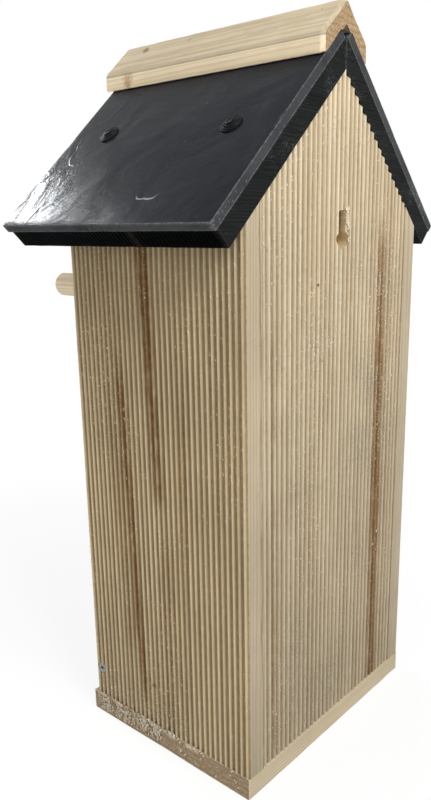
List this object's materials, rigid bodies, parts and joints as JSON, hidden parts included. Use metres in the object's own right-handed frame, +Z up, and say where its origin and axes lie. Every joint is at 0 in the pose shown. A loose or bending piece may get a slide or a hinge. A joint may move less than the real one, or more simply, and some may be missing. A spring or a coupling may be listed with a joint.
{
  "type": "gabled bird nest box",
  "caption": "Gabled nest box of ribbed pine boards with a black sheeted roof, wooden ridge cap, keyhole hanger and a front panel that tilts open.",
  "frame": {"origin": "centre of the side walls' footprint, on the underside of the base board", "axes": "+Z up, -Y out of the entrance side, +Y towards the wall it hangs on, +X to the right of someone facing the entrance"},
  "size_m": [0.2188, 0.266, 0.4434],
  "materials": {
    "pine": "raw",
    "dowel": "raw",
    "black_wood": "painted matt",
    "roof_sheet": "matt",
    "washer": "matt",
    "black_screw": "satin black",
    "zinc": "zinc plated"
  },
  "bodies": {
    "box": {"base_board": "pine", "side_wall_right": "pine", "side_wall_left": "pine", "back_wall": "pine", "pivot_screws": "zinc", "base_screws": "zinc", "wall_brads": "zinc", "roof_board_right_front": "black_wood", "roof_board_right_rear": "black_wood", "roof_board_left_front": "black_wood", "roof_board_left_rear": "black_wood", "deck_nails": "zinc", "roof_sheet_right": "roof_sheet", "roof_sheet_left": "roof_sheet", "roof_washers": "washer", "roof_screws": "black_screw", "ridge_cap": "pine", "ridge_brads": "zinc"},
    "front": {"front_panel": "pine", "perch": "dowel"}
  },
  "joints": [
    {"name": "front_panel_hinge", "type": "hinge", "parent": "box", "child": "front", "pos_m": [0, -0.0635, 0.0333], "axis": [1, 0, 0], "range_deg": [0, 90]}
  ]
}
